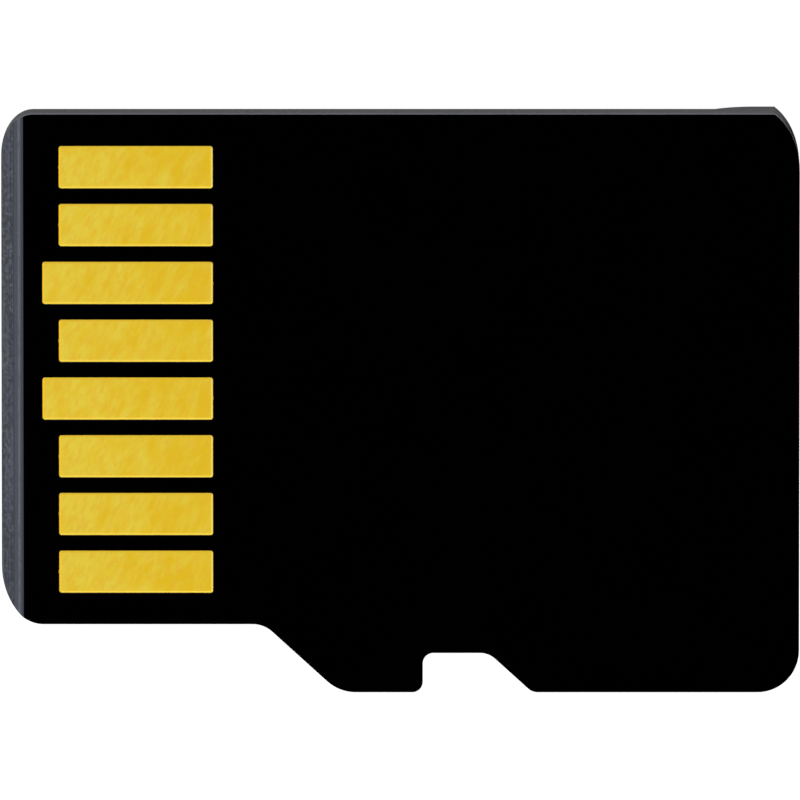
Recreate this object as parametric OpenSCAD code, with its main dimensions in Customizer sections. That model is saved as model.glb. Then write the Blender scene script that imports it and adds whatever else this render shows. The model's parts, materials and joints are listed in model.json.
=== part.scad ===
// Small removable memory card, lying with its eight contacts up and its finger lip down.
// X runs from the front end, which enters the socket first, to the rear end with the lip.
// Y runs from the side with the step and the latch notch to the plain long side.
// Z runs from the crest of the lip up to the contact face, and the origin is the middle of the base.

/* [Card outline] */
// Length of the card
card_l = 15.0; // [14:0.1:16]
// Width of the card over its rear part
card_w = 11.0; // [10.7:0.05:11.6]
// How much narrower the card is over its front part
step_depth = 1.30; // [1.1:0.02:1.5]
// Rounding of the front corner on the long side, along the card
front_corner_l = 0.60; // [0.4:0.01:0.9]
// Rounding of the front corner on the long side, across the card
front_corner_w = 0.84; // [0.4:0.02:1.2]
// Rounding of the front corner on the stepped side, along the card
step_corner_l = 0.78; // [0.4:0.02:0.9]
// Rounding of the front corner on the stepped side, across the card
step_corner_w = 1.06; // [0.4:0.02:1.3]
// Rounding of the rear corner on the long side, along the card
rear_corner_l = 0.88; // [0.4:0.02:0.95]
// Rounding of the rear corner on the long side, across the card
rear_corner_w = 1.24; // [0.6:0.02:1.3]
// How far the straight cut of the long side goes into that rounding
side_cut = 0.14; // [0:0.02:0.2]
// Rounding of the rear corner on the stepped side, along the card
tail_corner_l = 0.78; // [0.4:0.02:0.95]
// Rounding of the rear corner on the stepped side, across the card
tail_corner_w = 0.80; // [0.4:0.02:1.2]
// Distance from the front end to where the step's slope begins
step_start = 4.93; // [4.7:0.01:5.1]
// Angle between the step's slope and the long side
step_angle = 42.5; // [38:0.5:50]
// Radius of the bend between the narrow part's side and the step's slope
step_r = 0.54; // [0.2:0.02:0.8]
// Radius of the bend between the step's slope and the wide part's side
step_mouth_r = 0.80; // [0.4:0.02:1]
// Thickness of the card between the label face and the contact face
card_t = 0.70; // [0.66:0.01:0.8]

/* [Latch notch] */
// Distance from the front end to the notch's straight wall
notch_start = 7.92; // [7.7:0.01:8.1]
// Length of the notch's flat floor
notch_floor = 1.24; // [1:0.02:1.4]
// Depth of the notch
notch_depth = 0.750; // [0.6:0.005:0.8]
// Angle between the notch's sloped wall and the long side
notch_angle = 42.5; // [38:0.5:50]
// Radius of the two bends at the straight wall
notch_wall_r = 0.2; // [0.1:0.02:0.24]
// Radius of the bend between the floor and the sloped wall
notch_slope_r = 0.42; // [0.1:0.02:0.5]
// Radius of the bend between the sloped wall and the card's side
notch_mouth_r = 0.26; // [0.1:0.02:0.4]

/* [Finger lip] */
// Height of the lip over the label face
lip_h = 0.30; // [0.2:0.01:0.35]
// Distance from the rear end to the foot of the lip, at the middle of the card
lip_depth = 1.08; // [0.9:0.02:1.3]
// Length of the lip's curved ramp
lip_ramp = 0.73; // [0.5:0.01:0.8]
// Radius of the lip's inner edge, seen from above
lip_r = 30; // [25:0.5:40]

/* [Front bevel] */
// Length of the bevel that is ground on the contact side of the front end
bevel_l = 0.40; // [0.3:0.01:0.42]
// Angle between the bevel and the contact face
bevel_angle = 45; // [40:1:50]

/* [Board layers] */
// Thickness of the solder mask on the contact side
face_mask_t = 0.025; // [0.022:0.001:0.04]
// Thickness of the glass-epoxy core
core_t = 0.130; // [0.1:0.005:0.15]
// Thickness of the solder mask on the die side
inner_mask_t = 0.025; // [0.022:0.001:0.035]
// Thickness of the copper on both sides of the board
copper_t = 0.015; // [0.012:0.001:0.018]

/* [Contacts] */
// Width of a contact
contact_w = 0.79; // [0.7:0.01:0.85]
// Pitch of the contacts
contact_pitch = 1.10; // [1.05:0.01:1.12]
// Length of an ordinary contact
contact_l = 2.88; // [2.7:0.01:3]
// Distance from the front end to an ordinary contact
contact_start = 1.09; // [1:0.01:1.1]
// How much further forward the supply and ground contacts reach
contact_lead = 0.31; // [0.2:0.01:0.35]
// Corner radius of a contact
contact_r = 0.04; // [0.03:0.01:0.1]
// Clearance between a contact and the edge of its window
contact_gap = 0.015; // [0.01:0.001:0.02]

/* [Board copper] */
// Width of a trace
trace_w = 0.06; // [0.05:0.005:0.07]
// Diameter of a plated via
via_d = 0.16; // [0.12:0.01:0.2]
// Diameter of the land round a via
land_d = 0.26; // [0.22:0.01:0.3]
// Distance from the front end to the vias of the ordinary contacts
front_via_x = 0.72; // [0.68:0.01:0.76]
// Distance behind the contacts to the vias of the supply and ground contacts
rear_via_gap = 0.70; // [0.6:0.01:0.75]
// Length of a bond finger
finger_l = 0.26; // [0.22:0.01:0.3]
// Width of a bond finger
finger_w = 0.10; // [0.08:0.005:0.12]
// Clearance between a row of bond fingers and the edge of its window
window_gap = 0.05; // [0.04:0.005:0.07]
// Distance from the edges of the first flash die to the ground plane under it
plane_inset = 0.15; // [0.1:0.01:0.3]

/* [Flash dies] */
// Thickness of a flash die
flash_t = 0.055; // [0.04:0.005:0.06]
// Thickness of a die-attach film
film_t = 0.020; // [0.012:0.002:0.025]
// How far each flash die steps back from the one under it
flash_step = 0.30; // [0.28:0.01:0.34]
// Distance from the front end to the first flash die
flash_start = 6.00; // [5.9:0.05:6.2]
// Distance from the rear end to the last flash die
flash_rear = 0.60; // [0.4:0.05:0.8]
// Distance from the narrow part's two long sides to the flash dies
flash_side = 0.55; // [0.4:0.05:0.7]
// Number of wires on each flash die
flash_wires = 18; // [16:1:18]
// Pitch of the wires on a flash die
flash_pitch = 0.36; // [0.3:0.01:0.38]
// Distance from the bond fingers to the first flash die
flash_finger_gap = 0.55; // [0.5:0.01:0.6]

/* [Controller] */
// Distance from the front end to the controller die
controller_start = 1.85; // [1.8:0.01:1.9]
// Length of the controller die
controller_l = 1.90; // [1.8:0.02:1.95]
// Width of the controller die
controller_w = 4.00; // [3.8:0.05:4.2]
// Thickness of the controller die
controller_t = 0.12; // [0.1:0.005:0.15]
// Distance between the controller die and its bond fingers
controller_finger_gap = 0.26; // [0.22:0.01:0.28]
// Pitch of the bond fingers in front of the controller
front_pitch = 0.50; // [0.4:0.01:0.52]
// Pitch of the bond fingers behind the controller
rear_pitch = 0.21; // [0.18:0.005:0.22]

/* [Bond wires] */
// Thickness of a bond wire
wire_t = 0.025; // [0.02:0.001:0.03]
// Length of the flat stitch at each end of a wire
stitch_l = 0.05; // [0.04:0.005:0.06]
// Height of a wire's loop between two flash dies, over the line between its ends
loop_h = 0.05; // [0.045:0.005:0.07]
// Height of a wire's loop between a die and the board
board_loop_h = 0.10; // [0.08:0.005:0.12]
// Distance from a die's edge to the wire's stitch
stitch_inset = 0.04; // [0.03:0.005:0.06]

/* [Chip components] */
// Length of a chip component over its terminals
chip_l = 0.60; // [0.5:0.01:0.65]
// Width of a chip component
chip_w = 0.30; // [0.25:0.01:0.35]
// Thickness of a chip capacitor
capacitor_t = 0.30; // [0.25:0.01:0.34]
// Thickness of a chip resistor
resistor_t = 0.23; // [0.2:0.01:0.28]
// Length of a terminal along the component
terminal_l = 0.15; // [0.1:0.01:0.18]
// Thickness of a terminal's metal
terminal_t = 0.020; // [0.015:0.001:0.03]
// Thickness of a solder joint
solder_t = 0.020; // [0.015:0.001:0.03]
// Pitch of the components beside each other
chip_pitch = 0.80; // [0.7:0.02:0.85]
// Distance from the controller die to the middle of the components
chip_offset = 1.15; // [1.1:0.02:1.3]

/* [Hidden] */

// Number of contacts, and the two that carry power
contact_count = 8;
supply = 4;
ground = 6;
// Number of stacked flash dies
flash_count = 4;
// Turn, in degrees, of one straight piece of the card's rounded outline, and of a contact's corner
outline_step = 6;
contact_step = 18;
// Number of sides of a via and of its land
via_sides = 12;
// How far a cutting shape runs past the faces that it cuts
past = 0.5;

// Places along the card
front = -card_l / 2;
rear = card_l / 2;
long_side = card_w / 2;
step_side = -card_w / 2;
narrow_side = step_side + step_depth;
narrow_w = card_w - step_depth;
narrow_mid = (long_side + narrow_side) / 2;

// Heights, from the base up
label_face = lip_h;
contact_face = lip_h + card_t;
core_top = contact_face - face_mask_t;
core_foot = core_top - core_t;
die_face = core_foot - inner_mask_t;

// The side with the step and the notch: the place and the radius of each bend between its two ends
stepped_edge = [
    [front, narrow_side, 0],
    [front + step_start, narrow_side, step_r],
    [front + step_start + step_depth / tan(step_angle), step_side, step_mouth_r],
    [front + notch_start, step_side, notch_wall_r],
    [front + notch_start, step_side + notch_depth, notch_wall_r],
    [front + notch_start + notch_floor, step_side + notch_depth, notch_slope_r],
    [front + notch_start + notch_floor + notch_depth / tan(notch_angle), step_side, notch_mouth_r],
    [rear, step_side, 0]
];

// Where the straight cut of the long side ends the rounding of the rear corner
cut_turn = asin((rear_corner_w - side_cut) / rear_corner_w);

// Flash stack
flash_front = front + flash_start;
flash_l = rear - flash_rear - flash_front - (flash_count - 1) * flash_step;
flash_w = narrow_w - 2 * flash_side;
flash_rise = film_t + flash_t;

// Controller and its fingers
controller_front = front + controller_start;
controller_back = controller_front + controller_l;
controller_top = film_t + controller_t;
front_finger_x = controller_front - controller_finger_gap;
rear_finger_x = controller_back + controller_finger_gap;
flash_finger_x = flash_front - flash_finger_gap;

// Height of a bond finger's face over the die side of the board, which is sunk in its window
finger_face = copper_t - inner_mask_t;

// The places of the components: which side of the controller, and which place in that row
chip_places = [
    for (side = [-1, 1])
        for (place = [-1 : 1])
            [controller_front + controller_l / 2 + place * chip_pitch,
                narrow_mid + side * (controller_w / 2 + chip_offset), side]
];
capacitor_places = [chip_places[0], chip_places[1], chip_places[3], chip_places[4]];
resistor_places = [chip_places[2], chip_places[5]];

// Unit vector along v
function unit(v) = v / norm(v);

// An angle brought between -180 and 180
function turn(angle) = angle > 180 ? angle - 360 : (angle < -180 ? angle + 360 : angle);

// Points of a stretch of an ellipse between two turns round its middle
function ellipse_arc(x, y, l, w, from, to) =
    let (steps = ceil((to - from) / outline_step))
    [for (k = [0 : steps])
        let (a = from + (to - from) * k / steps)
            [x + l * cos(a), y + w * sin(a)]];

// Points of the card's outline, from its front end round by the stepped side
function outline() = concat(
    ellipse_arc(front + step_corner_l, narrow_side + step_corner_w, step_corner_l, step_corner_w, 180, 270),
    [for (i = [1 : len(stepped_edge) - 2]) each rounded_corner(stepped_edge, i, outline_step)],
    ellipse_arc(rear - tail_corner_l, step_side + tail_corner_w, tail_corner_l, tail_corner_w, 270, 360),
    ellipse_arc(rear - rear_corner_l, long_side + side_cut - rear_corner_w,
        rear_corner_l, rear_corner_w, 0, cut_turn),
    ellipse_arc(front + front_corner_l, long_side - front_corner_w, front_corner_l, front_corner_w, 90, 180)
);

// Points of the arc that rounds corner i of a path
function rounded_corner(path, i, arc_step) =
    let (n = len(path),
        here = [path[i][0], path[i][1]],
        before = path[(i + n - 1) % n],
        after = path[(i + 1) % n],
        r = path[i][2],
        back = unit([before[0], before[1]] - here),
        on = unit([after[0], after[1]] - here),
        half = acos(back * on) / 2,
        middle = here + unit(back + on) * r / sin(half),
        first = here + back * r / tan(half) - middle,
        last = here + on * r / tan(half) - middle,
        start = atan2(first[1], first[0]),
        sweep = turn(atan2(last[1], last[0]) - start),
        steps = max(1, ceil(abs(sweep) / arc_step)))
    [for (k = [0 : steps]) middle + r * [cos(start + sweep * k / steps), sin(start + sweep * k / steps)]];

// All points of a path whose corners are rounded
function rounded(path, arc_step) =
    [for (i = [0 : len(path) - 1]) each rounded_corner(path, i, arc_step)];

// Corners of a rectangle, each with radius r
function rectangle(x, y, l, w, r) = [[x, y, r], [x + l, y, r], [x + l, y + w, r], [x, y + w, r]];

// Middle line of contact n, counted from the stepped side
function contact_y(n) = narrow_mid + (n - (contact_count + 1) / 2) * contact_pitch;

function is_power(n) = n == supply || n == ground;

// Front end of contact n
function contact_front(n) = front + contact_start - (is_power(n) ? contact_lead : 0);

// The traces of the flash bus that carry power
supply_line = 8;
ground_line = 15;

// Places of the i-th bond fingers of the flash dies and of the controller's two rows
function flash_y(i) = narrow_mid + (i - (flash_wires + 1) / 2) * flash_pitch;
function rear_y(i) = narrow_mid + (i - (flash_wires + 1) / 2) * rear_pitch;
function front_y(n) = narrow_mid + (n - (contact_count + 1) / 2) * front_pitch;

// Ends of a trace of the flash bus, inside its two fingers, and the share of it up to a power via
rear_trace_x = rear_finger_x + finger_l - finger_w / 2;
flash_trace_x = flash_finger_x - finger_l + finger_w / 2;
rear_via_x = front + contact_start + contact_l + rear_via_gap;
rear_via_share = (rear_via_x - rear_trace_x) / (flash_trace_x - rear_trace_x);

// Place of contact n's via: before the pad, or for power on the trace that it feeds
function bus_line(n) = n == supply ? supply_line : ground_line;
function power_via_y(n) =
    rear_y(bus_line(n)) + rear_via_share * (flash_y(bus_line(n)) - rear_y(bus_line(n)));
function via_place(n) =
    is_power(n) ? [rear_via_x, power_via_y(n)] : [front + front_via_x, contact_y(n)];

// Height of the i-th flash die's face over the die side of the board
function flash_top(i) = i * flash_rise;

// Front edge of the i-th flash die
function flash_edge(i) = flash_front + (i - 1) * flash_step;

// A layer of the card's full outline between two heights
module layer(low, high) {
    translate([0, 0, low])
        linear_extrude(high - low)
            polygon(outline());
}

// What the grinding wheel takes off the front end
module bevel_cut() {
    slope = tan(bevel_angle);
    rotate([90, 0, 0])
        linear_extrude(card_w + 2 * past, center = true)
            polygon([
                [front - past, contact_face - (bevel_l + past) * slope],
                [front + bevel_l + past, contact_face + past * slope],
                [front - past, contact_face + past * slope]
            ]);
}

// A block between two heights over the board's contact side
module block(x, y, l, w, low, high) {
    translate([x, y, low])
        cube([l, w, high - low]);
}

// Puts what is built upwards on the die side in its place under the board
module on_die_side() {
    translate([0, 0, die_face])
        mirror([0, 0, 1])
            children();
}

// A straight trace between two places, between two heights
module trace(from, to, low, high) {
    run = to - from;
    translate([from[0], from[1], low])
        rotate([0, 0, atan2(run[1], run[0])])
            translate([0, -trace_w / 2, 0])
                cube([norm(run), trace_w, high - low]);
}

// A land or a via at a place, between two heights
module barrel(place, d, low, high) {
    translate([place[0], place[1], low])
        cylinder(d = d, h = high - low, $fn = via_sides);
}

// The two heights of the copper on each side of the board
face_copper = [core_top, core_top + copper_t];
inner_copper = [core_foot - copper_t, core_foot];

// The pad of contact n, grown all round by a margin
module contact_pad(n, margin, low, high) {
    l = contact_l + (is_power(n) ? contact_lead : 0);
    translate([0, 0, low])
        linear_extrude(high - low)
            polygon(rounded(rectangle(contact_front(n) - margin, contact_y(n) - contact_w / 2 - margin,
                l + 2 * margin, contact_w + 2 * margin, contact_r + margin), contact_step));
}

// The copper of contact n that the contact side's mask covers
module contact_neck(n) {
    inside = is_power(n) ? contact_front(n) + contact_lead + contact_l - trace_w : contact_front(n) + trace_w;
    trace([inside, contact_y(n)], via_place(n), face_copper[0], face_copper[1]);
    barrel(via_place(n), land_d, face_copper[0], face_copper[1]);
}

// The copper of contact n on the die side of the board
module contact_inner(n) {
    barrel(via_place(n), land_d, inner_copper[0], inner_copper[1]);
    if (is_power(n)) {
        bus_trace(bus_line(n));
        if (n == ground)
            ground_plane();
    } else {
        trace(via_place(n), [front_finger_x - finger_l + finger_w / 2, front_y(n)],
            inner_copper[0], inner_copper[1]);
        finger(front_finger_x - finger_l, front_y(n));
    }
}

// A bond finger whose front end is at x
module finger(x, y) {
    block(x, y - finger_w / 2, finger_l, finger_w, inner_copper[0], inner_copper[1]);
}

// One trace of the flash bus, with a bond finger at each end
module bus_trace(i) {
    finger(rear_finger_x, rear_y(i));
    finger(flash_finger_x - finger_l, flash_y(i));
    trace([rear_trace_x, rear_y(i)], [flash_trace_x, flash_y(i)], inner_copper[0], inner_copper[1]);
}

// The ground plane under the flash dies, and the strap that ties it to its bond finger
module ground_plane() {
    plane_x = flash_front + plane_inset;
    strap_x = flash_finger_x - trace_w;
    block(plane_x, narrow_side + flash_side + plane_inset, flash_l - 2 * plane_inset,
        flash_w - 2 * plane_inset, inner_copper[0], inner_copper[1]);
    block(strap_x, flash_y(ground_line) - trace_w / 2, plane_x + trace_w - strap_x, trace_w,
        inner_copper[0], inner_copper[1]);
}

// One contact with its neck, its via and its copper on the die side, all one piece of metal
module contact(n) {
    color("goldenrod")
        union() {
            contact_pad(n, 0, face_copper[0], face_copper[1]);
            contact_neck(n);
            barrel(via_place(n), via_d, core_foot, core_top);
            contact_inner(n);
        }
}

// The traces of the flash bus that carry signals
module flash_traces() {
    color("peru")
        for (i = [1 : flash_wires])
            if (i != supply_line && i != ground_line)
                bus_trace(i);
}

// The two lands of each chip component
module component_lands() {
    color("peru")
        for (place = chip_places)
            for (end = [-1, 1])
                block(place[0] - chip_w / 2, place[1] + end * (chip_l - terminal_l) / 2 - terminal_l / 2,
                    chip_w, terminal_l, inner_copper[0], inner_copper[1]);
}

// The glass-epoxy board, drilled for its vias
module laminate_core() {
    color("dimgray")
        difference() {
            layer(core_foot, core_top);
            bevel_cut();
            for (n = [1 : contact_count])
                barrel(via_place(n), via_d, core_foot - past, core_top + past);
        }
}

// The mask that shows, with a window for each contact
module contact_side_mask() {
    color("black")
        difference() {
            layer(core_top, contact_face);
            bevel_cut();
            for (n = [1 : contact_count]) {
                contact_pad(n, contact_gap, core_top - past, contact_face + past);
                contact_neck(n);
            }
        }
}

// The windows of the mask on the die side: three rows of fingers and one for each component
module inner_windows(low, high) {
    finger_window(front_finger_x - finger_l, front_y(1), front_y(contact_count), low, high);
    finger_window(rear_finger_x, rear_y(1), rear_y(flash_wires), low, high);
    finger_window(flash_finger_x - finger_l, flash_y(1), flash_y(flash_wires), low, high);
    for (place = chip_places)
        block(place[0] - chip_w / 2 - window_gap, place[1] - chip_l / 2 - window_gap,
            chip_w + 2 * window_gap, chip_l + 2 * window_gap, low, high);
}

// A window round a row of fingers that begins at x
module finger_window(x, first, last, low, high) {
    block(x - window_gap, first - finger_w / 2 - window_gap,
        finger_l + 2 * window_gap, last - first + finger_w + 2 * window_gap, low, high);
}

// All the copper on the die side of the board
module inner_copper_work() {
    for (n = [1 : contact_count])
        contact_inner(n);
    flash_traces();
    component_lands();
}

// The mask on the die side
module die_side_mask() {
    color("darkslategray")
        difference() {
            layer(die_face, core_foot);
            bevel_cut();
            inner_windows(die_face - past, core_foot + past);
            inner_copper_work();
        }
}

// A flash die, and the film that it lies on
module flash_die(i) {
    color("slategray")
        on_die_side()
            block(flash_edge(i), narrow_side + flash_side, flash_l, flash_w,
                flash_top(i) - flash_t, flash_top(i));
}

module die_film(i) {
    color("wheat")
        on_die_side()
            block(flash_edge(i), narrow_side + flash_side, flash_l, flash_w,
                flash_top(i - 1), flash_top(i - 1) + film_t);
}

// The controller die, and the film that it lies on
module controller_die() {
    color("steelblue")
        on_die_side()
            block(controller_front, narrow_mid - controller_w / 2, controller_l, controller_w,
                film_t, controller_top);
}

module controller_film() {
    color("wheat")
        on_die_side()
            block(controller_front, narrow_mid - controller_w / 2, controller_l, controller_w, 0, film_t);
}

// Number of straight pieces in a wire's loop
loop_steps = 6;

// A wire along X between two stitches: the loop is a parabola over the line between them
module wire(x1, h1, x2, h2, y, loop) {
    way = x2 > x1 ? 1 : -1;
    line = [
        [x1 - way * stitch_l, h1],
        for (k = [0 : loop_steps])
            let (t = k / loop_steps)
                [x1 + (x2 - x1) * t, h1 + (h2 - h1) * t + 4 * loop * t * (1 - t)],
        [x2 + way * stitch_l, h2]
    ];
    top = [for (k = [len(line) - 1 : -1 : 0]) line[k] + [0, wire_t]];
    translate([0, y, 0])
        rotate([90, 0, 0])
            linear_extrude(wire_t, center = true)
                polygon(concat(line, top));
}

// The wires that end on the i-th flash die: from the board's fingers, or from the die before it
module flash_wires_of(i) {
    landing = flash_edge(i) + stitch_inset;
    leaving = flash_edge(i - 1) + stitch_inset + 3 * stitch_l;
    color("gold")
        on_die_side()
            for (k = [1 : flash_wires])
                if (i == 1)
                    wire(flash_finger_x - finger_l / 2, finger_face, landing, flash_top(i), flash_y(k),
                        board_loop_h);
                else
                    wire(leaving, flash_top(i - 1), landing, flash_top(i), flash_y(k), loop_h);
}

// The controller's wires to the contacts' fingers, and to the flash bus
module controller_front_wires() {
    color("gold")
        on_die_side()
            for (n = [1 : contact_count])
                if (!is_power(n))
                    wire(controller_front + stitch_inset + stitch_l, controller_top,
                        front_finger_x - finger_l / 2, finger_face, front_y(n), board_loop_h);
}

module controller_rear_wires() {
    color("gold")
        on_die_side()
            for (k = [1 : flash_wires])
                wire(controller_back - stitch_inset - stitch_l, controller_top,
                    rear_finger_x + finger_l / 2, finger_face, rear_y(k), board_loop_h);
}

// Heights of a component's terminals over the die side of the board
solder_foot = finger_face;
chip_foot = solder_foot + solder_t;

// The solder under the terminals
module solder_joints() {
    color("silver")
        on_die_side()
            for (place = chip_places)
                for (end = [-1, 1])
                    block(place[0] - chip_w / 2,
                        place[1] + end * (chip_l - terminal_l) / 2 - terminal_l / 2,
                        chip_w, terminal_l, solder_foot, chip_foot);
}

// The ceramic body of a chip component of thickness t at a place
module chip_body(place, t) {
    on_die_side()
        block(place[0] - chip_w / 2 + terminal_t, place[1] - chip_l / 2 + terminal_t,
            chip_w - 2 * terminal_t, chip_l - 2 * terminal_t, chip_foot + terminal_t, chip_foot + t - terminal_t);
}

// The two metal terminals of a chip component, each a cap over one end of the body
module chip_terminals(place, t) {
    difference() {
        on_die_side()
            for (end = [-1, 1])
                block(place[0] - chip_w / 2, place[1] + end * (chip_l - terminal_l) / 2 - terminal_l / 2,
                    chip_w, terminal_l, chip_foot, chip_foot + t);
        chip_body(place, t);
    }
}

module capacitor(i) {
    color("tan")
        chip_body(capacitor_places[i - 1], capacitor_t);
}

module capacitor_terminals(i) {
    color("lightgray")
        chip_terminals(capacitor_places[i - 1], capacitor_t);
}

module resistor(i) {
    color("whitesmoke")
        chip_body(resistor_places[i - 1], resistor_t);
}

module resistor_terminals(i) {
    color("lightgray")
        chip_terminals(resistor_places[i - 1], resistor_t);
}

// Everything that the moulding flows round
module moulded_in() {
    inner_copper_work();
    for (i = [1 : flash_count]) {
        flash_die(i);
        die_film(i);
        flash_wires_of(i);
    }
    controller_die();
    controller_film();
    controller_front_wires();
    controller_rear_wires();
    solder_joints();
    for (i = [1 : len(capacitor_places)]) {
        capacitor(i);
        capacitor_terminals(i);
    }
    for (i = [1 : len(resistor_places)]) {
        resistor(i);
        resistor_terminals(i);
    }
}

// Number of straight pieces in the lip's ramp
ramp_steps = 10;

// The finger lip: a ramp that is an arc tangent to the crest, turned about a far axis in front
module finger_lip() {
    ramp_r = (lip_ramp * lip_ramp + lip_h * lip_h) / (2 * lip_h);
    foot_r = lip_r;
    ramp = [
        for (k = [0 : ramp_steps])
            let (s = lip_ramp * k / ramp_steps)
                [foot_r + s, label_face - lip_h
                    + ramp_r - sqrt(ramp_r * ramp_r - (lip_ramp - s) * (lip_ramp - s))]
    ];
    reach = foot_r + lip_depth + past;
    half_turn = asin((long_side + past) / foot_r);
    intersection() {
        layer(0, core_foot);
        translate([rear - lip_depth - foot_r, 0, 0])
            rotate([0, 0, -half_turn])
                rotate_extrude(angle = 2 * half_turn, $fn = 180)
                    polygon(concat(ramp, [[reach, 0], [reach, die_face], [foot_r, die_face]]));
    }
}

// The moulding, with its lip and its ground front end, closed round all that it holds
module mould_body() {
    color("#2b2d31")
        difference() {
            union() {
                layer(label_face, die_face);
                finger_lip();
                inner_windows(die_face, core_foot);
            }
            bevel_cut();
            moulded_in();
        }
}

mould_body();
laminate_core();
contact_side_mask();
die_side_mask();
contact(1);  // contact_1_data2
contact(2);  // contact_2_data3
contact(3);  // contact_3_command
contact(4);  // contact_4_supply
contact(5);  // contact_5_clock
contact(6);  // contact_6_ground
contact(7);  // contact_7_data0
contact(8);  // contact_8_data1
flash_traces();
component_lands();
flash_die(1);  // flash_die_1
flash_die(2);  // flash_die_2
flash_die(3);  // flash_die_3
flash_die(4);  // flash_die_4
die_film(1);  // die_film_1
die_film(2);  // die_film_2
die_film(3);  // die_film_3
die_film(4);  // die_film_4
controller_die();
controller_film();
flash_wires_of(1);  // flash_wires_1
flash_wires_of(2);  // flash_wires_2
flash_wires_of(3);  // flash_wires_3
flash_wires_of(4);  // flash_wires_4
controller_front_wires();
controller_rear_wires();
solder_joints();
capacitor(1);  // capacitor_1
capacitor(2);  // capacitor_2
capacitor(3);  // capacitor_3
capacitor(4);  // capacitor_4
capacitor_terminals(1);  // capacitor_1_terminals
capacitor_terminals(2);  // capacitor_2_terminals
capacitor_terminals(3);  // capacitor_3_terminals
capacitor_terminals(4);  // capacitor_4_terminals
resistor(1);  // resistor_1
resistor(2);  // resistor_2
resistor_terminals(1);  // resistor_1_terminals
resistor_terminals(2);  // resistor_2_terminals
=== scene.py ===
"""Small removable memory card with its contacts up: finishes, gold plating, light and camera."""

import json
import logging
import math
from dataclasses import dataclass
from enum import Enum
from typing import Sequence

import bpy
import numpy as np
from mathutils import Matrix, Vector


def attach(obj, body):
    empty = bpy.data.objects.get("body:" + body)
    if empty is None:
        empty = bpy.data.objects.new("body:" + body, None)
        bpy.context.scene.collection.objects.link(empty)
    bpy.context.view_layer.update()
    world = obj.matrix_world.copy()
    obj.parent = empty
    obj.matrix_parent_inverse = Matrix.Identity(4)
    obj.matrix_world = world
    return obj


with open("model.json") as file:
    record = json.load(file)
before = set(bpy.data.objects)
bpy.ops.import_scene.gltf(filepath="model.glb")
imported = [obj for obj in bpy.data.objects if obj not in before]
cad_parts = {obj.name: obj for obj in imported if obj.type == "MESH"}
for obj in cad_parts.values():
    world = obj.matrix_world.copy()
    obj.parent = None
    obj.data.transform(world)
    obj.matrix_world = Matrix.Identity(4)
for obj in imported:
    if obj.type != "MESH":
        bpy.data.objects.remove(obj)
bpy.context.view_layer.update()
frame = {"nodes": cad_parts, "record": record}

Colour = tuple[float, float, float]
Range = tuple[float, float]
Stretch = tuple[float, float, float]
Socket = bpy.types.NodeSocket

MM = 0.001
BODY = "root"
WHITE: Colour = (1.0, 1.0, 1.0)
# Values of a share
WHOLE: Range = (0.0, 1.0)
# Values between which most of a soft noise lies
MIDDLE: Range = (0.3, 0.7)
# How far a surface faces up where a side ends and where the bevel begins
BEVEL_UP: Range = (0.3, 0.5)
log = logging.getLogger("card")


def toned(colour: Colour, tone: float) -> Colour:
    """Makes a colour darker or paler by a factor."""
    return tuple(tone * part for part in colour)


class Way(Enum):
    """How a worked finish runs on a piece, as the stretch of its grain on each axis."""

    EVEN = (1.0, 1.0, 1.0)
    ALONG = (0.06, 1.0, 1.0)


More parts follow.
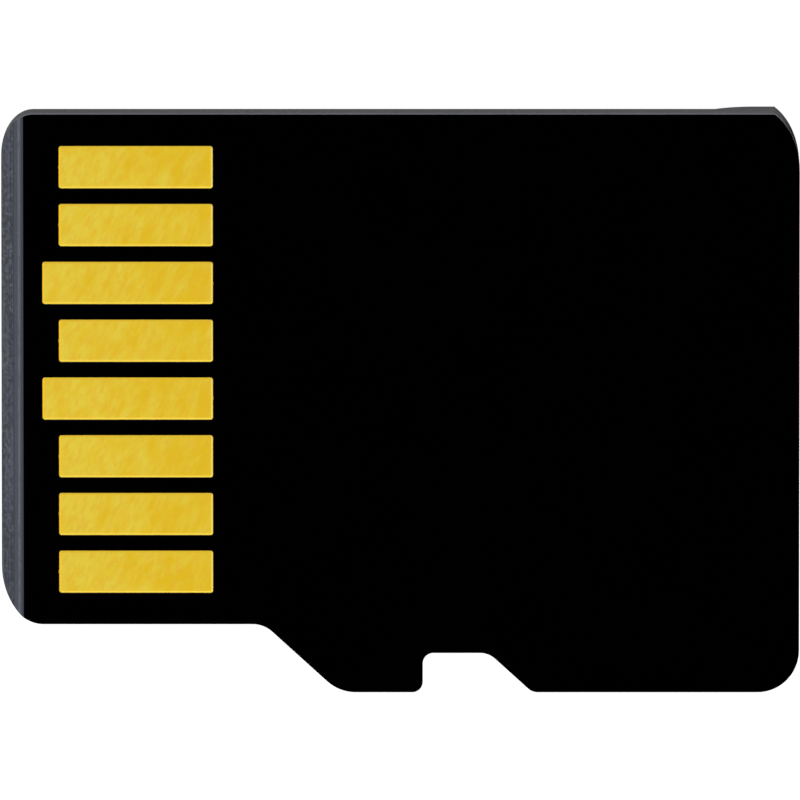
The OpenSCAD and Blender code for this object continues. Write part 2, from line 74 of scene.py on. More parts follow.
class Shade:
    """The node tree of one material, with a short way to add each kind of node it needs."""

    def __init__(self, name: str) -> None:
        """Makes an empty material with one shader.

        Args:
            name: what the material is called.
        """
        self.material = bpy.data.materials.new(name)
        self.material.use_nodes = True
        self.tree = self.material.node_tree
        self.shader = self.tree.nodes["Principled BSDF"]

    def add(self, kind: str, **settings: object) -> bpy.types.Node:
        """Adds a node.

        Args:
            kind: the node's type.
            settings: attributes of the node and their values.

        Returns:
            The new node.
        """
        node = self.tree.nodes.new(kind)
        for name, value in settings.items():
            setattr(node, name, value)
        return node

    def feed(self, socket: Socket, value: object) -> None:
        """Links a socket to another one, or sets it to a constant.

        Args:
            socket: the input that is fed.
            value: an output socket, or a constant.
        """
        if isinstance(value, bpy.types.NodeSocket):
            self.tree.links.new(value, socket)
        else:
            socket.default_value = value

    def place(self, stretch: Stretch = (1.0, 1.0, 1.0), turn: float = 0.0) -> Socket:
        """Gives the place on the card in millimetres, turned about Z and then stretched.

        Args:
            stretch: factor on each axis; a small one draws the pattern out along that axis.
            turn: angle of the pattern about Z, in degrees.

        Returns:
            The socket with the place.
        """
        spot = self.add("ShaderNodeTexCoord").outputs["Object"]
        turned = self.add("ShaderNodeMapping", vector_type="TEXTURE")
        turned.inputs["Rotation"].default_value = (0.0, 0.0, math.radians(turn))
        self.feed(turned.inputs["Vector"], spot)
        scaled = self.add("ShaderNodeMapping", vector_type="POINT")
        scaled.inputs["Scale"].default_value = [factor / MM for factor in stretch]
        self.feed(scaled.inputs["Vector"], turned.outputs["Vector"])
        return scaled.outputs["Vector"]

    def noise(
        self, place: Socket, grain: float, detail: float = 2.0, rough: float = 0.55,
    ) -> Socket:
        """Soft random variation from 0 to 1.

        Args:
            place: where it is read, in millimetres.
            grain: size of its spots, in millimetres.
            detail: number of finer layers.
            rough: strength of the finer layers.

        Returns:
            The socket with the value.
        """
        node = self.add("ShaderNodeTexNoise")
        self.feed(node.inputs["Vector"], place)
        node.inputs["Scale"].default_value = 1.0 / grain
        node.inputs["Detail"].default_value = detail
        node.inputs["Roughness"].default_value = rough
        return node.outputs["Fac"]

    def specks(self, place: Socket, grain: float) -> Socket:
        """Separate grains, each with its own value from 0 to 1.

        Args:
            place: where they are read, in millimetres.
            grain: size of a grain, in millimetres.

        Returns:
            The socket with the value.
        """
        node = self.add("ShaderNodeTexVoronoi")
        self.feed(node.inputs["Vector"], place)
        node.inputs["Scale"].default_value = 1.0 / grain
        split = self.add("ShaderNodeSeparateColor")
        self.feed(split.inputs["Color"], node.outputs["Color"])
        return split.outputs["Red"]

    def span(self, value: Socket, limits: Range, ends: Range = WHOLE) -> Socket:
        """Stretches the values between two limits over a new span, and holds them inside it.

        Args:
            value: the values.
            limits: the two values that become the ends of the new span.
            ends: the ends of the new span.

        Returns:
            The socket with the new values.
        """
        node = self.add("ShaderNodeMapRange", clamp=True)
        names = ("From Min", "From Max", "To Min", "To Max")
        for name, number in zip(names, (*limits, *ends)):
            node.inputs[name].default_value = number
        self.feed(node.inputs["Value"], value)
        return node.outputs["Result"]

    def maths(self, operation: str, first: object, second: object) -> Socket:
        """Joins two values by an operation.

        Args:
            operation: the operation's name.
            first: the first value.
            second: the second value.

        Returns:
            The socket with the result.
        """
        node = self.add("ShaderNodeMath", operation=operation)
        self.feed(node.inputs[0], first)
        self.feed(node.inputs[1], second)
        return node.outputs["Value"]

    def times(self, first: object, second: object) -> Socket:
        """Multiplies two values."""
        return self.maths("MULTIPLY", first, second)

    def plus(self, first: object, second: object) -> Socket:
        """Adds two values."""
        return self.maths("ADD", first, second)

    def blend(self, share: object, first: object, second: object) -> Socket:
        """Mixes two colours.

        Args:
            share: how much of the second colour shows, from 0 to 1.
            first: the colour that shows at 0.
            second: the colour that shows at 1.

        Returns:
            The socket with the colour.
        """
        node = self.add("ShaderNodeMix", data_type="RGBA")
        first_colour, second_colour, mixed_colour = node.inputs[6], node.inputs[7], node.outputs[2]
        self.feed(node.inputs["Factor"], share)
        for socket, colour in ((first_colour, first), (second_colour, second)):
            self.feed(socket, (*colour, 1.0) if isinstance(colour, tuple) else colour)
        return mixed_colour

    def axis(self, vector: Socket, name: str) -> Socket:
        """Takes one axis out of a vector.

        Args:
            vector: the vector.
            name: X, Y or Z.

        Returns:
            The socket with the value on that axis.
        """
        node = self.add("ShaderNodeSeparateXYZ")
        self.feed(node.inputs["Vector"], vector)
        return node.outputs[name]

    def facing(self, name: str = "Z") -> Socket:
        """How far the surface faces along an axis, from -1 to 1."""
        return self.axis(self.add("ShaderNodeNewGeometry").outputs["Normal"], name)

    def bump(self, height: Socket, depth: float, strength: float = 1.0) -> None:
        """Raises the surface by a value from 0 to 1.

        Args:
            height: socket with the height.
            depth: height of the relief, in millimetres.
            strength: how much of it shows.
        """
        node = self.add("ShaderNodeBump")
        node.inputs["Strength"].default_value = strength
        node.inputs["Distance"].default_value = depth * MM
        self.feed(node.inputs["Height"], height)
        self.feed(self.shader.inputs["Normal"], node.outputs["Normal"])

    def set(self, **values: object) -> None:
        """Sets or links the shader's own sockets.

        Args:
            values: what each socket gets, by the socket's name with _ for a space.
        """
        for name, value in values.items():
            if isinstance(value, tuple):
                value = (*value, 1.0)
            self.feed(self.shader.inputs[name.replace("_", " ")], value)


# painted shade: walls that face the rear end are darkened and dulled
@dataclass(frozen=True)
class RearShade:
    """Painted shade on the walls that face the rear end: the more a wall faces the rear, the
    darker and duller.
    """

    facing: Range = (0.52, 0.86)
    start_x: Range = (5.5, 6.5)
    colour: Colour = (0.014, 0.015, 0.018)
    share: float = 0.85
    shine: float = 0.002

    def amount(self, shade: Shade) -> Socket:
        """How much painted shade a place gets, from 0 to 1, by its facing and by how far back it
        lies.
        """
        facing = shade.span(shade.facing("X"), self.facing)
        return shade.times(facing, shade.span(shade.axis(shade.place(), "X"), self.start_x))

    def darken(self, shade: Shade, side: object) -> Socket:
        """Mixes the colour of the painted shade into a side's own."""
        return shade.blend(shade.times(self.amount(shade), self.share), side, self.colour)

    def dull(self, shade: Shade, shine: float) -> Socket:
        """Lowers the strength of a side's reflections, as part of the painted shade."""
        return shade.span(self.amount(shade), WHOLE, (shine, self.shine))


# In a finish, sizes, places and reliefs are in millimetres, a stretch is a factor on each axis, a
# tone is a factor on a colour, and a range called _up is of how far the surface faces up.


@dataclass(frozen=True)
class GrainFinish:
    """A fine-grained material: two colours mixed by soft noise, with roughness and relief.

    Its broad spots are spot_grains times as wide as a grain.
    """

    name: str
    colour: Colour
    second: Colour
    grain: float
    depth: float
    metallic: float = 0.0
    shine: float = 0.5
    roughness: Range = (0.4, 0.6)
    way: Way = Way.EVEN
    spot_grains: float = 6.0
    mix: Range = (0.7, 1.3)

    def material(self) -> bpy.types.Material:
        """Builds the material.

        Returns:
            The material, with its colour, roughness and bump from nodes.
        """
        shade = Shade(self.name)
        place = shade.place(self.way.value)
        broad = shade.noise(place, self.grain * self.spot_grains)
        fine = shade.noise(place, self.grain, detail=3.0)
        mixed = shade.span(shade.plus(broad, fine), self.mix)
        shade.set(
            Base_Color=shade.blend(mixed, self.colour, self.second),
            Metallic=self.metallic,
            Specular_IOR_Level=self.shine,
            Roughness=shade.span(fine, MIDDLE, self.roughness),
        )
        shade.bump(fine, self.depth)
        return shade.material


@dataclass(frozen=True)
class MouldFinish:
    """Filled black epoxy: matte as moulded, paler with its filler showing where sawn or ground."""

    name: str = "filled_epoxy"
    moulded: Colour = (0.022, 0.023, 0.026)
    sawn: Colour = (0.056, 0.057, 0.064)
    ground: Colour = (0.087, 0.092, 0.117)
    filler: Colour = (0.165, 0.174, 0.202)
    # painted shade on the walls that face the rear end
    rear_shade: RearShade = RearShade()
    shine: float = 0.12
    roughness: Range = (0.5, 0.62)
    cut_roughness: float = 0.1
    cut_up: Range = (-0.9, -0.75)
    cloud: float = 0.16
    cloud_tone: float = 0.8
    saw_stretch: Stretch = (0.05, 0.05, 1.0)
    saw_tone: float = 0.9
    # painted shade at the foot of the sawn sides: the height where it fades, and its tone
    shaded_foot_z: Range = (0.38, 0.56)
    foot_shade_tone: float = 0.78
    streak: float = 0.045
    streak_stretch: Stretch = (1.0, 0.02, 1.0)
    blotch: float = 0.075
    blotch_stretch: Stretch = (1.0, 0.7, 1.0)
    blotch_rough: float = 0.65
    wheel: Range = (0.41, 0.59)
    wheel_tones: Range = (0.66, 1.32)
    speck: float = 0.055
    fleck_grains: Range = (0.60, 0.95)
    fleck_blotches: Range = (0.42, 0.56)
    fleck_shares: Range = (0.25, 0.70)
    pit: float = 0.03
    blotch_relief: float = 0.6
    relief: float = 0.006
    relief_strength: float = 0.7

    def material(self) -> bpy.types.Material:
        """Builds the material, which picks each zone by how far the surface faces up.

        Returns:
            The material.
        """
        shade = Shade(self.name)
        place = shade.place()
        up = shade.facing()
        is_cut = shade.span(up, self.cut_up)
        blotches = shade.noise(
            shade.place(self.blotch_stretch), self.blotch, rough=self.blotch_rough)
        grain = shade.specks(place, self.speck)
        own_rough = shade.span(grain, WHOLE, self.roughness)
        cut = self.cut(shade, place, up, blotches, grain)
        # the reflections of walls that face the rear end are dulled as painted shade
        shade.set(
            Base_Color=shade.blend(is_cut, self.skin(shade, place), cut),
            Specular_IOR_Level=self.rear_shade.dull(shade, self.shine),
            Roughness=shade.plus(own_rough, shade.times(is_cut, self.cut_roughness)),
        )
        pits = shade.noise(place, self.pit)
        relief = shade.plus(pits, shade.times(blotches, self.blotch_relief))
        shade.bump(relief, self.relief, self.relief_strength)
        return shade.material

    def skin(self, shade: Shade, place: Socket) -> Socket:
        """Colour of the moulded label face, with a faint cloud in it."""
        cloud = shade.span(shade.noise(place, self.cloud, detail=3.0), MIDDLE)
        return shade.blend(cloud, toned(self.moulded, self.cloud_tone), self.moulded)

    def cut(
        self, shade: Shade, place: Socket, up: Socket, blotches: Socket, grain: Socket,
    ) -> Socket:
        """Colour of the sawn sides and the ground bevel, with painted shade on the walls that face
        the rear end.

        Args:
            shade: the material that is built.
            place: place on the card, in millimetres.
            up: how far the surface faces up.
            blotches: soft spots left by the wheel.
            grain: separate grains of filler.

        Returns:
            The socket with the colour.
        """
        bevel = self.bevel(shade, blotches)
        surface = shade.blend(shade.span(up, BEVEL_UP), self.side(shade, place), bevel)
        flecks = shade.times(
            shade.span(grain, self.fleck_grains), shade.span(blotches, self.fleck_blotches))
        share = shade.span(up, BEVEL_UP, self.fleck_shares)
        flecked = shade.blend(shade.times(flecks, share), surface, self.filler)
        # painted shade darkens the walls that face the rear end
        return self.rear_shade.darken(shade, flecked)

    def side(self, shade: Shade, place: Socket) -> Socket:
        """Colour of the sawn sides, with marks of the saw, and painted shade that makes them
        darker at their foot.

        Args:
            shade: the material that is built.
            place: place on the card, in millimetres.

        Returns:
            The socket with the colour.
        """
        saw = shade.span(shade.noise(shade.place(self.saw_stretch), self.streak), MIDDLE)
        marked = shade.blend(saw, toned(self.sawn, self.saw_tone), self.sawn)
        # painted shade: the sides are darker towards their foot
        foot = shade.span(shade.axis(place, "Z"), self.shaded_foot_z)
        return shade.blend(foot, toned(self.sawn, self.foot_shade_tone * self.saw_tone), marked)

    def bevel(self, shade: Shade, blotches: Socket) -> Socket:
        """Colour of the ground bevel: the mean of the wheel's streaks and blotches.

        Args:
            shade: the material that is built.
            blotches: soft spots left by the wheel.

        Returns:
            The socket with the colour.
        """
        streaks = shade.noise(shade.place(self.streak_stretch), self.streak)
        mean = shade.times(shade.plus(streaks, blotches), 0.5)
        dark, pale = (toned(self.ground, tone) for tone in self.wheel_tones)
        return shade.blend(shade.span(mean, self.wheel), dark, pale)


@dataclass(frozen=True)
class LaminateFinish:
    """Cut edge of the glass-epoxy board: dark resin with a paler ply of glass along the edge."""

    name: str = "glass_epoxy"
    resin: Colour = (0.089, 0.095, 0.123)
    glass: Colour = (0.166, 0.176, 0.208)
    # painted shade on the sides that face the rear end
    rear_shade: RearShade = RearShade()
    shine: float = 0.12
    roughness: Range = (0.45, 0.6)
    side_tone: float = 0.62
    strand: float = 0.022
    strand_stretch: Stretch = (0.03, 0.03, 1.0)
    ply_z: float = 0.933
    ply_fade: Range = (0.028 / 3, 0.028)
    knot: float = 0.07
    knot_stretch: Stretch = (1.0, 0.4, 1.0)
    knot_span: Range = (0.36, 0.64)
    knot_shares: Range = (0.5, 1.3)
    end: float = 0.03
    end_span: Range = (0.8, 1.0)
    end_shares: Range = (0.0, 0.25)
    relief: float = 0.003
    relief_strength: float = 0.6

    def material(self) -> bpy.types.Material:
        """Builds the material.

        Returns:
            The material.
        """
        shade = Shade(self.name)
        strands = shade.noise(shade.place(self.strand_stretch), self.strand)
        ground = shade.blend(self.glass_share(shade), self.resin, self.glass)
        # painted shade darkens the sides that face the rear end
        sawn = self.rear_shade.darken(shade, toned(self.resin, self.side_tone))
        # the reflections of sides that face the rear end are dulled as painted shade
        shade.set(
            Base_Color=shade.blend(shade.span(shade.facing(), BEVEL_UP), sawn, ground),
            Specular_IOR_Level=self.rear_shade.dull(shade, self.shine),
            Roughness=shade.span(strands, MIDDLE, self.roughness),
        )
        shade.bump(strands, self.relief, self.relief_strength)
        return shade.material

    def glass_share(self, shade: Shade) -> Socket:
        """How much glass shows: the ply at its height with knots in it, and separate ends.

        Args:
            shade: the material that is built.

        Returns:
            The socket with the share.
        """
        place = shade.place()
        away = shade.maths("SUBTRACT", shade.axis(place, "Z"), self.ply_z)
        ply = shade.span(shade.maths("ABSOLUTE", away, 0.0), self.ply_fade, (1.0, 0.0))
        knots = shade.noise(shade.place(self.knot_stretch), self.knot)
        ends = shade.specks(place, self.end)
        return shade.plus(
            shade.times(ply, shade.span(knots, self.knot_span, self.knot_shares)),
            shade.span(ends, self.end_span, self.end_shares))


@dataclass(frozen=True)
class MaskFinish:
    """Black solder mask on the contact side: deep black, with a faint orange peel."""

    name: str = "black_mask"
    colour: Colour = (0.0, 0.0, 0.0)
    second: Colour = (0.00005, 0.00005, 0.00006)
    edge: Colour = (0.078, 0.084, 0.114)
    feather_x: Range = (-7.098, -7.080)
    flat_up: Range = (0.8, 0.95)
    shine: float = 0.002
    roughness: Range = (0.42, 0.52)
    peel: float = 0.12
    cloud: float = 1.4
    relief: float = 0.0012
    relief_strength: float = 0.5

    def material(self) -> bpy.types.Material:
        """Builds the material.

        Returns:
            The material.
        """
        shade = Shade(self.name)
        place = shade.place()
        peel = shade.noise(place, self.peel, detail=3.0)
        cloud = shade.noise(place, self.cloud, detail=1.0)
        face = shade.blend(shade.span(cloud, MIDDLE), self.colour, self.second)
        feather = shade.span(shade.axis(place, "X"), self.feather_x)
        unground = shade.times(shade.span(shade.facing(), self.flat_up), feather)
        shade.set(
            Base_Color=shade.blend(unground, self.edge, face),
            Specular_IOR_Level=self.shine,
            Roughness=shade.span(peel, MIDDLE, self.roughness),
        )
        shade.bump(peel, self.relief, self.relief_strength)
        return shade.material


@dataclass(frozen=True)
class PlatingFinish:
    """Satin gold plating: a soft slanted mottle, and a painted reflection of its own tone on each
    side of the rolled rim.
    """

    name: str = "satin_gold"
    pale: Colour = (0.690, 0.525, 0.044)
    deep: Colour = (0.655, 0.435, 0.007)
    warm: Colour = (0.680, 0.390, 0.018)
    # painted reflections: one tone for each side of the rolled rim
    front_rim_reflection: Colour = (0.84, 0.515, 0.012)
    rear_rim_reflection: Colour = (0.78, 0.580, 0.095)
    near_rim_reflection: Colour = (0.76, 0.545, 0.048)
    far_rim_reflection: Colour = (0.71, 0.470, 0.024)
    rim_lean: Range = (0.05, 0.14)
    metallic: float = 0.75
    roughness: Range = (0.40, 0.5)
    slant: float = 66.0
    slant_stretch: Stretch = (0.42, 1.0, 1.0)
    streak: float = 0.19
    patch: float = 0.6
    patch_share: float = 0.4
    fade_x: Range = (-6.4, -3.6)
    fade_share: float = 0.25
    depths: Range = (0.62, 1.04)
    fleck: float = 0.085
    fleck_rough: float = 0.6
    fleck_span: Range = (0.46, 0.66)
    fleck_shares: Range = (0.0, 0.50)
    pit: float = 0.04
    streak_relief: float = 0.8
    relief: float = 0.0025
    relief_strength: float = 0.6

    def material(self) -> bpy.types.Material:
        """Builds the material.

        Returns:
            The material.
        """
        shade = Shade(self.name)
        place = shade.place()
        slanted = shade.place(self.slant_stretch, self.slant)
        streaks = shade.noise(slanted, self.streak)
        flecks = shade.noise(slanted, self.fleck, rough=self.fleck_rough)
        patches = shade.noise(place, self.patch, detail=1.0)
        fade = shade.span(shade.axis(place, "X"), self.fade_x)
        broad = shade.plus(streaks, shade.times(patches, self.patch_share))
        depth = shade.plus(broad, shade.times(fade, self.fade_share))
        tone = shade.blend(shade.span(depth, self.depths), self.pale, self.deep)
        fleck_share = shade.span(flecks, self.fleck_span, self.fleck_shares)
        tone = shade.blend(fleck_share, tone, self.warm)
        shade.set(
            Base_Color=self.rims(shade, tone),
            Metallic=self.metallic,
            Roughness=shade.span(streaks, MIDDLE, self.roughness),
        )
        pits = shade.noise(place, self.pit, detail=3.0)
        relief = shade.plus(pits, shade.times(streaks, self.streak_relief))
        shade.bump(relief, self.relief, self.relief_strength)
        return shade.material

    def rims(self, shade: Shade, tone: Socket) -> Socket:
        """Paints a reflection of its own tone on each side of the rolled rim, by the way that the
        surface leans.

        Args:
            shade: the material that is built.
            tone: colour of the flat middle.

        Returns:
            The socket with the colour.
        """
        # painted reflection: each side of the rim is tinted by the way it leans
        for axis, sign, colour in (
            ("Y", 1.0, self.far_rim_reflection), ("X", -1.0, self.front_rim_reflection),
            ("X", 1.0, self.rear_rim_reflection), ("Y", -1.0, self.near_rim_reflection),
        ):
            lean = shade.times(shade.facing(axis), sign)
            tone = shade.blend(shade.span(lean, self.rim_lean), tone, colour)
        return tone


Finish = GrainFinish | MouldFinish | LaminateFinish | MaskFinish | PlatingFinish

FINISHES: dict[str, Finish] = {
    "mould": MouldFinish(),
    "laminate": LaminateFinish(),
    "face_mask": MaskFinish(),
    "inner_mask": GrainFinish(
        "inner_mask", (0.054, 0.058, 0.076), (0.066, 0.071, 0.090), 0.05, 0.001, shine=0.12),
    "contact_gold": PlatingFinish(),
    "board_copper": GrainFinish(
        "board_copper", (0.72, 0.30, 0.16), (0.58, 0.22, 0.12), 0.04, 0.001,
        metallic=1.0, roughness=(0.3, 0.45)),
    "silicon": GrainFinish(
        "polished_silicon", (0.16, 0.17, 0.20), (0.12, 0.125, 0.16), 0.3, 0.0002,
        metallic=0.7, roughness=(0.08, 0.16), way=Way.ALONG),
    "attach_film": GrainFinish(
        "attach_film", (0.55, 0.47, 0.30), (0.48, 0.40, 0.25), 0.06, 0.001),
    "bond_gold": GrainFinish(
        "drawn_gold", (0.86, 0.62, 0.22), (0.80, 0.55, 0.18), 0.01, 0.0002,
        metallic=1.0, roughness=(0.18, 0.28), way=Way.ALONG),
    "solder": GrainFinish(
        "solder", (0.60, 0.60, 0.61), (0.50, 0.50, 0.52), 0.03, 0.001,
        metallic=1.0, roughness=(0.25, 0.45)),
    "capacitor_ceramic": GrainFinish(
        "tan_ceramic", (0.42, 0.29, 0.17), (0.36, 0.24, 0.14), 0.03, 0.001),
    "resistor_ceramic": GrainFinish(
        "white_ceramic", (0.72, 0.71, 0.68), (0.64, 0.63, 0.60), 0.03, 0.001),
    "terminal_metal": GrainFinish(
        "tinned_terminal", (0.66, 0.66, 0.65), (0.56, 0.56, 0.56), 0.03, 0.001,
        metallic=1.0, roughness=(0.3, 0.5)),
}


class FinishShelf:
    """Keeps one material of each finish and puts it on pieces."""

    def __init__(self) -> None:
        """Starts with no material made."""
        self.made: dict[str, bpy.types.Material] = {}

    def dress(self, piece: bpy.types.Object, slot: str) -> None:
        """Puts a slot's finish on all faces of a piece.

        Args:
            piece: the object to dress.
            slot: name of the finish in FINISHES.
        """
        if slot not in self.made:
            self.made[slot] = FINISHES[slot].material()
        piece.data.materials.clear()
        piece.data.materials.append(self.made[slot])


def ring_surface(rings: np.ndarray) -> tuple[np.ndarray, list[list[int]]]:
    """Closes a stack of rings into a skin: each is joined to the next, and the ends get faces.

    Args:
        rings: array of rings, points and coordinates, from the lower end over the outside to
            the upper end, each ring counter-clockwise seen from above.

    Returns:
        The points, and the faces as lists of point numbers that turn outwards.
    """
    count, points = rings.shape[:2]
    number = np.arange(count * points).reshape(count, points)
    on = np.roll(number, -1, axis=1)
    quads = np.stack([number[:-1], on[:-1], on[1:], number[1:]], axis=-1).reshape(-1, 4)
    ends = [number[0, ::-1].tolist(), number[-1].tolist()]
    return rings.reshape(-1, 3), quads.tolist() + ends


def make_piece(
    name: str, points: np.ndarray, faces: Sequence[Sequence[int]], smooth: bool = True,
) -> bpy.types.Object:
    """Puts points and faces into a new object that stands at the origin.

    Args:
        name: name of the piece.
        points: places of the points, in metres.
        faces: point numbers of each face.
        smooth: whether light runs smoothly over its edges.

    Returns:
        The new object.
    """
    mesh = bpy.data.meshes.new(name)
    mesh.from_pydata(points, [], faces)
    mesh.polygons.foreach_set("use_smooth", [smooth] * len(faces))
    mesh.update()
    piece = bpy.data.objects.new(name, mesh)
    bpy.context.scene.collection.objects.link(piece)
    return piece


@dataclass
class ContactPlating:
    """Gold plating over one contact: a thin closed skin with a rolled rim, in millimetres."""

    name: str
    middle_y: float
    front_x: float
    rear_x: float
    top_z: float
    width: float
    corner_r: float
    least_r: float = 0.012
    corner_points: int = 7
    side_t: float = 0.008
    side_depth: float = 0.012
    lift: float = 0.0085
    roll: float = 0.042
    roll_start: float = 0.15
    roll_rings: int = 7

    def profile(self) -> np.ndarray:
        """Section of the skin, from its foot on the contact over the outside to the flat middle.

        The rolled rim is an arc that starts at a share of the lift: the rest of its height
        grows with the sine of the share of the roll.

        Returns:
            Array of pairs: how far outside the contact's edge, and the height over the contact.
        """
        share = np.linspace(0.0, 1.0, self.roll_rings)
        low = self.roll_start * self.lift
        rim = np.stack([
            self.side_t - share * (self.roll + self.side_t),
            low + (self.lift - low) * np.sin(share * math.pi / 2),
        ], axis=1)
        foot = np.array([[0.0, 0.0], [0.0, -self.side_depth], [self.side_t, -self.side_depth]])
        return np.concatenate([foot, rim])

    def outline(self, grow: float) -> np.ndarray:
        """Rounded rectangle round the contact: four quarter circles that grow with the outline.

        Args:
            grow: how far it lies outside the contact's own edge, in millimetres.

        Returns:
            Array of points and two coordinates, counter-clockwise.
        """
        r = max(self.corner_r + grow, self.least_r)
        half = self.width / 2
        low = np.array([self.front_x - grow + r, self.middle_y - half - grow + r])
        high = np.array([self.rear_x + grow - r, self.middle_y + half + grow - r])
        angle = np.linspace(0.0, math.pi / 2, self.corner_points)
        quarter = r * np.stack([np.cos(angle), np.sin(angle)], axis=1)
        turn = np.array([[0.0, 1.0], [-1.0, 0.0]])
        corners = [high, np.array([low[0], high[1]]), low, np.array([high[0], low[1]])]
        quarters = [quarter, quarter @ turn, -quarter, -quarter @ turn]
        return np.concatenate([corner + part for corner, part in zip(corners, quarters)])

    def build(self) -> bpy.types.Object:
        """Carries the rim's profile round the contact's outline.

        Returns:
            The plating, one closed piece.
        """
        rings = []
        for grow, rise in self.profile():
            flat = self.outline(grow)
            height = np.full((len(flat), 1), self.top_z + rise)
            rings.append(np.concatenate([flat, height], axis=1) * MM)
        return make_piece(self.name, *ring_surface(np.array(rings)))


@dataclass
class ContactRow:
    """The gold of the eight contacts, whose places and sizes are read from the frame."""

    prefix: str = "contact_"
    mask: str = "contact_side_mask"
    corner_r: float = 0.04
    near: float = 0.001

    def names(self) -> list[str]:
        """Names of the contacts, in their order across the card."""
        return sorted(n for n in frame["nodes"] if n.startswith(self.prefix) and n != self.mask)

    def pad_points(self, name: str) -> np.ndarray:
        """Points of a contact's pad, which are those on its highest level.

        Args:
            name: the contact's node.

        Returns:
            Array of points, in millimetres.
        """
        mesh = frame["nodes"][name].data
        points = np.empty(len(mesh.vertices) * 3)
        mesh.vertices.foreach_get("co", points)
        points = points.reshape(-1, 3) / MM
        return points[points[:, 2] > points[:, 2].max() - self.near]

    def plating(self, name: str) -> ContactPlating:
        """Measures a contact: the straight part of its long side is a corner shorter at each end.

        Args:
            name: the contact's node.

        Returns:
            The plating that fits it.
        """
        top = self.pad_points(name)
        low_y, high_y = top[:, 1].min(), top[:, 1].max()
        edge = top[np.abs(top[:, 1] - low_y) < self.near]
        return ContactPlating(
            name=f"{name}_plating",
            middle_y=(low_y + high_y) / 2,
            front_x=edge[:, 0].min() - self.corner_r,
            rear_x=edge[:, 0].max() + self.corner_r,
            top_z=top[:, 2].max(),
            width=high_y - low_y,
            corner_r=self.corner_r,
        )

    def build(self, shelf: FinishShelf) -> None:
        """Makes and dresses the plating of each contact.

        Args:
            shelf: where the finishes are.
        """
        for name in self.names():
            piece = self.plating(name).build()
            shelf.dress(piece, "contact_gold")
            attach(piece, BODY)
            log.info("%s: %d faces", piece.name, len(piece.data.polygons))


@dataclass
class CardBody:
    """The card's own nodes: the moulding, the board and all that is sealed in."""

    def dress(self, shelf: FinishShelf) -> None:
        """Puts on each node the finish of the material slot that the record gives it.

        Args:
            shelf: where the finishes are.
        """
        for slot, nodes in self.slots().items():
            for name in nodes:
                shelf.dress(frame["nodes"][name], slot)
                log.info("%s: dressed in %s", name, slot)

    def slots(self) -> dict[str, list[str]]:
        """Reads the record's material slots.

        Returns:
            The names of the nodes of each slot.
        """
        slots: dict[str, list[str]] = {}
        for part in frame["record"]["subparts"]:
            slots.setdefault(part["material_slot"], []).append(part["node"])
        return slots


@dataclass(frozen=True)
class Lamp:
    """A wide far lamp: its direction and its width as seen from the card, in degrees."""

    name: str
    azimuth: float
    height: float
    strength: float
    spread: float

    def build(self) -> None:
        """Makes the lamp, which shines on the card from its azimuth about Z and its height."""
        data = bpy.data.lights.new(self.name, "SUN")
        data.energy = self.strength
        data.angle = math.radians(self.spread)
        lamp = bpy.data.objects.new(self.name, data)
        bpy.context.scene.collection.objects.link(lamp)
        turn, rise = math.radians(self.azimuth), math.radians(self.height)
        flat = math.cos(rise)
        back = Vector((math.cos(turn) * flat, math.sin(turn) * flat, math.sin(rise)))
        lamp.rotation_mode = "QUATERNION"
        lamp.rotation_quaternion = back.to_track_quat("Z", "Y")


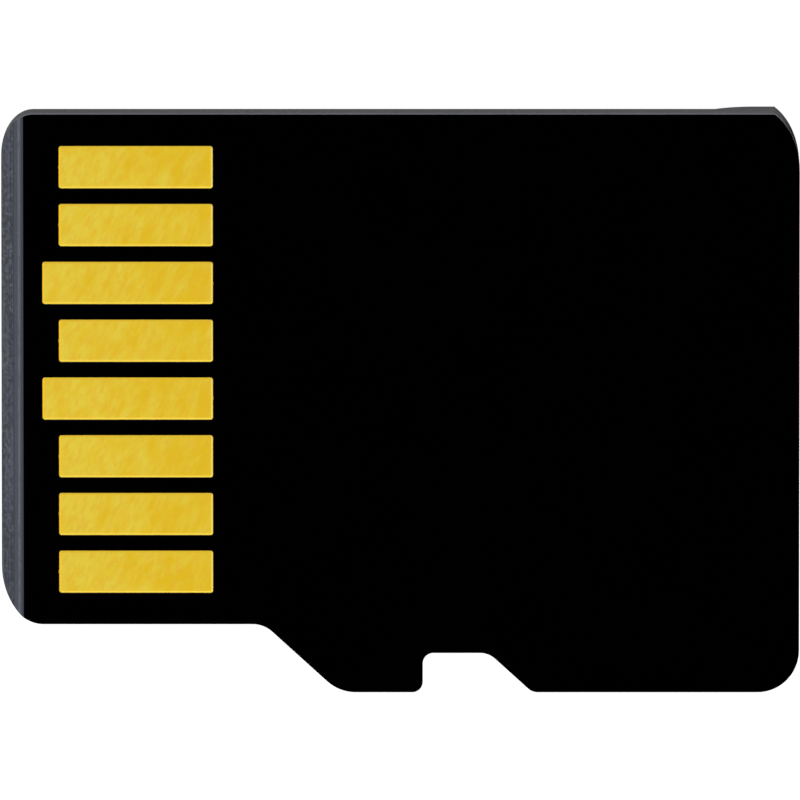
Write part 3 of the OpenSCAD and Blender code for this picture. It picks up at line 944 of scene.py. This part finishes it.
@dataclass
class Studio:
    """White floor, even white surroundings and three wide lamps."""

    floor_r: float = 400.0
    floor_z: float = -0.01
    floor_points: int = 64
    floor_colour: Colour = (0.32, 0.32, 0.32)
    floor_tone: float = 0.98
    floor_cloud: float = 30.0
    floor_roughness: float = 0.9
    floor_glow: float = 0.89
    sky: float = 0.5
    lamps: tuple[Lamp, ...] = (
        Lamp("key_lamp", 300.0, 42.0, 0.95, 40.0),
        Lamp("fill_lamp", 100.0, 35.0, 0.35, 60.0),
        Lamp("end_lamp", 195.0, 40.0, 0.35, 50.0),
    )

    def build(self) -> None:
        """Makes the floor, the surroundings and the lamps."""
        self.floor()
        self.surroundings()
        for lamp in self.lamps:
            lamp.build()

    def floor(self) -> None:
        """Makes the round floor: one face through points at even angles on a circle."""
        angle = np.linspace(0.0, 2.0 * math.pi, self.floor_points, endpoint=False)
        level = np.full(self.floor_points, self.floor_z / self.floor_r)
        points = self.floor_r * MM * np.stack([np.cos(angle), np.sin(angle), level], axis=1)
        floor = make_piece("floor", points, [tuple(range(self.floor_points))], smooth=False)
        floor.data.materials.append(self.floor_white())

    def floor_white(self) -> bpy.types.Material:
        """Makes the floor's finish: pale grey as light, and white to the camera.

        Returns:
            The material.
        """
        shade = Shade("floor_white")
        cloud = shade.noise(shade.place(), self.floor_cloud, detail=1.0)
        second = toned(self.floor_colour, self.floor_tone)
        shade.set(
            Base_Color=shade.blend(cloud, self.floor_colour, second),
            Roughness=self.floor_roughness,
            Specular_IOR_Level=0.0,
            Emission_Color=WHITE,
            Emission_Strength=shade.times(self.seen(shade.tree), self.floor_glow),
        )
        return shade.material

    def seen(self, tree: bpy.types.NodeTree) -> Socket:
        """Whether a ray comes from the camera, or by way of a glossy or clear surface.

        Args:
            tree: the node tree that asks.

        Returns:
            The socket, 1 for such a ray and 0 for any other.
        """
        path = tree.nodes.new("ShaderNodeLightPath")
        total = path.outputs["Is Camera Ray"]
        for name in ("Is Glossy Ray", "Is Transmission Ray"):
            highest = tree.nodes.new("ShaderNodeMath")
            highest.operation = "MAXIMUM"
            tree.links.new(total, highest.inputs[0])
            tree.links.new(path.outputs[name], highest.inputs[1])
            total = highest.outputs["Value"]
        return total

    def surroundings(self) -> None:
        """Makes the world: white to the camera and in reflections, and softer as light."""
        world = bpy.data.worlds.new("white_room")
        bpy.context.scene.world = world
        world.use_nodes = True
        tree = world.node_tree
        back = tree.nodes["Background"]
        back.inputs["Color"].default_value = (*WHITE, 1.0)
        strength = tree.nodes.new("ShaderNodeMapRange")
        strength.inputs["To Min"].default_value = self.sky
        tree.links.new(self.seen(tree), strength.inputs["Value"])
        tree.links.new(strength.outputs["Result"], back.inputs["Strength"])


@dataclass
class Viewpoint:
    """The photograph's view: a long lens that looks down, leaning a little to the long side.

    Across, distance and aim are in millimetres, tilt is in degrees, and clip is in metres.
    """

    across: float = 15.034
    distance: float = 600.0
    tilt: float = 9.3
    aim: tuple[float, float, float] = (-0.0080, 0.0735, 1.0)
    sensor: float = 36.0
    clip: Range = (0.01, 10.0)

    def build(self) -> None:
        """Makes the camera and gives it to the scene."""
        data = bpy.data.cameras.new("long_lens")
        data.sensor_width = self.sensor
        data.lens = self.sensor * self.distance / self.across
        data.clip_start, data.clip_end = self.clip
        camera = bpy.data.objects.new("long_lens", data)
        bpy.context.scene.collection.objects.link(camera)
        lean = math.radians(self.tilt)
        back = Vector((0.0, math.sin(lean), math.cos(lean)))
        camera.location = (Vector(self.aim) + back * self.distance) * MM
        camera.rotation_euler = (-lean, 0.0, 0.0)
        bpy.context.scene.camera = camera


def main() -> None:
    """Builds the card's looks, the studio and the view."""
    logging.basicConfig(level=logging.INFO, format="%(message)s")
    bpy.context.scene.view_settings.view_transform = "Standard"
    Viewpoint().build()
    Studio().build()
    shelf = FinishShelf()
    CardBody().dress(shelf)
    ContactRow().build(shelf)


if __name__ == "__main__":
    main()
